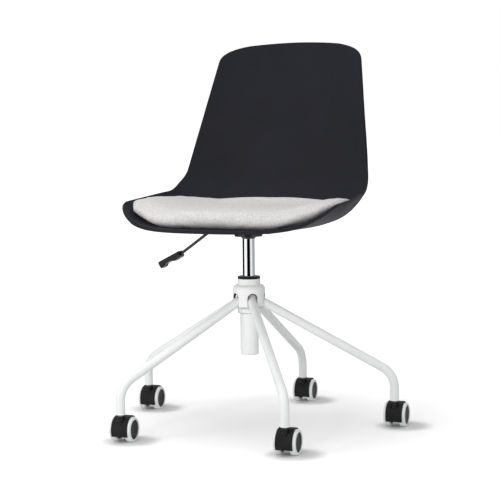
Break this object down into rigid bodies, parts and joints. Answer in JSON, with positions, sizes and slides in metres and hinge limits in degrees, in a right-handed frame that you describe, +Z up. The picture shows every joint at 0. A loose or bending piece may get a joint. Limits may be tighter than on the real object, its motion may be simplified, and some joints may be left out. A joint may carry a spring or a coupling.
{
  "type": "swivel desk chair",
  "caption": "Armless swivel desk chair: moulded bucket shell with a felt seat pad, gas-lift column with a side lever, and a star base of bent tubes on hooded casters",
  "frame": {"origin": "on the floor under the column's axis", "axes": "+Z up; the sitter faces -Y; the height lever is on -X"},
  "size_m": [0.6202, 0.6097, 0.8054],
  "materials": {
    "white_enamel": "smooth white powder coat",
    "white_cover": "satin white moulding",
    "white_tread": "soft white polyurethane",
    "black_plastic": "black nylon, fine grain",
    "shell_plastic": "blue-black polypropylene, fine grain",
    "felt": "light warm-grey wool felt",
    "chrome": "bright chrome plate",
    "black_enamel": "satin black enamel",
    "steel": "zinc-plated steel"
  },
  "bodies": {
    "base": {"hub_core": "white_enamel", "hub_cover": "white_cover", "leg_1": "white_enamel", "leg_2": "white_enamel", "leg_3": "white_enamel", "leg_4": "white_enamel", "leg_5": "white_enamel", "stem_sockets": "black_plastic", "column_tube": "white_enamel", "guide_bush": "black_plastic"},
    "gas_rod": {"piston_rod": "steel", "thrust_bearing": "steel", "rod_clip": "steel"},
    "seat": {"gas_cylinder": "chrome", "rod_guide": "black_plastic", "seat_plate": "black_enamel", "taper_cup": "black_enamel", "lever_pivot": "steel", "seat_screws": "steel", "shell_inserts": "steel", "bucket_shell": "shell_plastic", "seat_pad": "felt"},
    "lever": {"lever_rod": "black_enamel", "lever_handle": "black_plastic"},
    "valve": {"valve_pin": "steel"},
    "caster_1": {"caster_1_housing": "black_plastic", "caster_1_stem": "steel", "caster_1_axle": "steel"},
    "caster_1_left_wheel": {"caster_1_left_core": "black_plastic", "caster_1_left_tread": "white_tread"},
    "caster_1_right_wheel": {"caster_1_right_core": "black_plastic", "caster_1_right_tread": "white_tread"},
    "caster_2": {"caster_2_housing": "black_plastic", "caster_2_stem": "steel", "caster_2_axle": "steel"},
    "caster_2_left_wheel": {"caster_2_left_core": "black_plastic", "caster_2_left_tread": "white_tread"},
    "caster_2_right_wheel": {"caster_2_right_core": "black_plastic", "caster_2_right_tread": "white_tread"},
    "caster_3": {"caster_3_housing": "black_plastic", "caster_3_stem": "steel", "caster_3_axle": "steel"},
    "caster_3_left_wheel": {"caster_3_left_core": "black_plastic", "caster_3_left_tread": "white_tread"},
    "caster_3_right_wheel": {"caster_3_right_core": "black_plastic", "caster_3_right_tread": "white_tread"},
    "caster_4": {"caster_4_housing": "black_plastic", "caster_4_stem": "steel", "caster_4_axle": "steel"},
    "caster_4_left_wheel": {"caster_4_left_core": "black_plastic", "caster_4_left_tread": "white_tread"},
    "caster_4_right_wheel": {"caster_4_right_core": "black_plastic", "caster_4_right_tread": "white_tread"},
    "caster_5": {"caster_5_housing": "black_plastic", "caster_5_stem": "steel", "caster_5_axle": "steel"},
    "caster_5_left_wheel": {"caster_5_left_core": "black_plastic", "caster_5_left_tread": "white_tread"},
    "caster_5_right_wheel": {"caster_5_right_core": "black_plastic", "caster_5_right_tread": "white_tread"}
  },
  "joints": [
    {"name": "seat_swivel", "type": "hinge", "parent": "base", "child": "gas_rod", "pos_m": [0, 0, 0.16], "axis": [0, 0, 1], "continuous": true},
    {"name": "seat_height", "type": "slide", "parent": "gas_rod", "child": "seat", "axis": [0, 0, 1], "range_m": [-0.06, 0.04]},
    {"name": "lever_lift", "type": "hinge", "parent": "seat", "child": "lever", "pos_m": [-0.018, 0, 0.406], "axis": [0, 1, 0], "range_deg": [0, 6], "stiffness_Nm_per_rad": 0.6, "springref_deg": -11.46},
    {"name": "valve_press", "type": "slide", "parent": "seat", "child": "valve", "axis": [0, 0, -1], "range_m": [0, 0.0021]},
    {"name": "caster_1_swivel", "type": "hinge", "parent": "base", "child": "caster_1", "pos_m": [0.18675, -0.23478, 0.06], "axis": [0, 0, 1], "continuous": true},
    {"name": "caster_1_left_roll", "type": "hinge", "parent": "caster_1", "child": "caster_1_left_wheel", "pos_m": [0.18498, -0.21788, 0.025], "axis": [0.9945, 0.1045, 0], "continuous": true},
    {"name": "caster_1_right_roll", "type": "hinge", "parent": "caster_1", "child": "caster_1_right_wheel", "pos_m": [0.18498, -0.21788, 0.025], "axis": [0.9945, 0.1045, 0], "continuous": true},
    {"name": "caster_2_swivel", "type": "hinge", "parent": "base", "child": "caster_2", "pos_m": [0.281, 0.10506, 0.06], "axis": [0, 0, 1], "continuous": true},
    {"name": "caster_2_left_roll", "type": "hinge", "parent": "caster_2", "child": "caster_2_left_wheel", "pos_m": [0.27922, 0.12197, 0.025], "axis": [0.9945, 0.1045, 0], "continuous": true},
    {"name": "caster_2_right_roll", "type": "hinge", "parent": "caster_2", "child": "caster_2_right_wheel", "pos_m": [0.27922, 0.12197, 0.025], "axis": [0.9945, 0.1045, 0], "continuous": true},
    {"name": "caster_3_swivel", "type": "hinge", "parent": "base", "child": "caster_3", "pos_m": [-0.01309, 0.29971, 0.06], "axis": [0, 0, 1], "continuous": true},
    {"name": "caster_3_left_roll", "type": "hinge", "parent": "caster_3", "child": "caster_3_left_wheel", "pos_m": [-0.01486, 0.31662, 0.025], "axis": [0.9945, 0.1045, 0], "continuous": true},
    {"name": "caster_3_right_roll", "type": "hinge", "parent": "caster_3", "child": "caster_3_right_wheel", "pos_m": [-0.01486, 0.31662, 0.025], "axis": [0.9945, 0.1045, 0], "continuous": true},
    {"name": "caster_4_swivel", "type": "hinge", "parent": "base", "child": "caster_4", "pos_m": [-0.28909, 0.08017, 0.06], "axis": [0, 0, 1], "continuous": true},
    {"name": "caster_4_left_roll", "type": "hinge", "parent": "caster_4", "child": "caster_4_left_wheel", "pos_m": [-0.29087, 0.09708, 0.025], "axis": [0.9945, 0.1045, 0], "continuous": true},
    {"name": "caster_4_right_roll", "type": "hinge", "parent": "caster_4", "child": "caster_4_right_wheel", "pos_m": [-0.29087, 0.09708, 0.025], "axis": [0.9945, 0.1045, 0], "continuous": true},
    {"name": "caster_5_swivel", "type": "hinge", "parent": "base", "child": "caster_5", "pos_m": [-0.16558, -0.25017, 0.06], "axis": [0, 0, 1], "continuous": true},
    {"name": "caster_5_left_roll", "type": "hinge", "parent": "caster_5", "child": "caster_5_left_wheel", "pos_m": [-0.16736, -0.23326, 0.025], "axis": [0.9945, 0.1045, 0], "continuous": true},
    {"name": "caster_5_right_roll", "type": "hinge", "parent": "caster_5", "child": "caster_5_right_wheel", "pos_m": [-0.16736, -0.23326, 0.025], "axis": [0.9945, 0.1045, 0], "continuous": true}
  ],
  "couplings": [
    {"joint": "valve_press", "follows": "lever_lift", "m_per_rad": 0.018}
  ]
}
